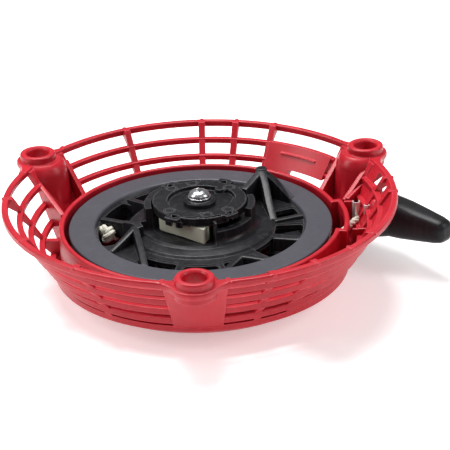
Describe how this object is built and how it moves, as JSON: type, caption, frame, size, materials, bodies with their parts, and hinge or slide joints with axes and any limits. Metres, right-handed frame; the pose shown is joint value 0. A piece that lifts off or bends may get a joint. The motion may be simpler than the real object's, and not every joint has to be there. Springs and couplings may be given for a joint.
{
  "type": "recoil starter",
  "caption": "Recoil starter for a small engine: louvred housing with mounting bosses, rope reel, ratchet pawls and a pull grip on its rope.",
  "frame": {"origin": "centre of the flat front face, on the crank axis", "axes": "+Z along the crank axis towards the engine, -Y towards mounting boss c, rope leaves between +X and +Y"},
  "size_m": [0.1937, 0.1808, 0.0455],
  "materials": {
    "housing_plastic": "satin moulded plastic, red",
    "reel_plastic": "satin moulded plastic, charcoal",
    "pawl_nylon": "natural nylon, pale grey-green",
    "grip_plastic": "semi-gloss moulded plastic, black",
    "rope_cord": "braided cord, off-white",
    "bright_steel": "zinc-plated steel, bright",
    "spring_steel": "blued spring steel"
  },
  "bodies": {
    "housing": {"front_face": "housing_plastic", "spring_wall": "housing_plastic", "centre_post": "housing_plastic", "drum_well": "housing_plastic", "cage_bay_back_1": "housing_plastic", "cage_bay_back_2": "housing_plastic", "cage_bay_back_3": "housing_plastic", "cage_bay_back_4": "housing_plastic", "cage_bay_left_1": "housing_plastic", "cage_bay_left_2": "housing_plastic", "cage_bay_left_3": "housing_plastic", "cage_bay_left_4": "housing_plastic", "cage_bay_right_1": "housing_plastic", "cage_bay_right_2": "housing_plastic", "cage_bay_right_3": "housing_plastic", "cage_bay_right_4": "housing_plastic", "rope_exit_bay": "housing_plastic", "mounting_boss_a": "housing_plastic", "mounting_boss_b": "housing_plastic", "mounting_boss_c": "housing_plastic", "rope_guide": "bright_steel", "recoil_spring": "spring_steel", "guide_collar": "reel_plastic", "flat_washer": "bright_steel", "centre_screw": "bright_steel"},
    "reel": {"reel": "reel_plastic", "reel_deck": "reel_plastic", "reel_hub": "reel_plastic", "reel_gusset_front": "reel_plastic", "reel_gusset_back": "reel_plastic", "wound_rope": "rope_cord", "reel_knot": "rope_cord", "pawl_spring_1": "spring_steel", "pawl_spring_2": "spring_steel"},
    "guide": {"ratchet_guide": "reel_plastic", "friction_spring": "spring_steel"},
    "pawl_1": {"pawl_1": "pawl_nylon"},
    "pawl_2": {"pawl_2": "pawl_nylon"},
    "grip": {"grip": "grip_plastic", "grip_cap": "grip_plastic", "grip_knot": "rope_cord", "rope_run": "rope_cord"}
  },
  "joints": [
    {"name": "pull", "type": "slide", "parent": "housing", "child": "grip", "axis": [0.7314, 0.682, 0], "range_m": [0, 1], "stiffness_N_per_m": 12, "springref_m": -0.6, "deforming": ["rope_run"]},
    {"name": "reel_spin", "type": "hinge", "parent": "housing", "child": "reel", "pos_m": [0, 0, 0.02], "axis": [0, 0, 1], "range_deg": [0, 1100]},
    {"name": "guide_turn", "type": "hinge", "parent": "reel", "child": "guide", "pos_m": [0, 0, 0.038], "axis": [0, 0, -1], "range_deg": [0, 22.5]},
    {"name": "pawl_1_swing", "type": "hinge", "parent": "reel", "child": "pawl_1", "pos_m": [-0.0135, -0.0055, 0.032], "axis": [0, 0, -1], "range_deg": [0, 18]},
    {"name": "pawl_2_swing", "type": "hinge", "parent": "reel", "child": "pawl_2", "pos_m": [0.0135, 0.0055, 0.032], "axis": [0, 0, -1], "range_deg": [0, 18]}
  ],
  "couplings": [
    {"joint": "reel_spin", "follows": "pull", "rad_per_m": 19},
    {"joint": "pawl_1_swing", "follows": "guide_turn", "ratio": 0.8},
    {"joint": "pawl_2_swing", "follows": "guide_turn", "ratio": 0.8}
  ]
}
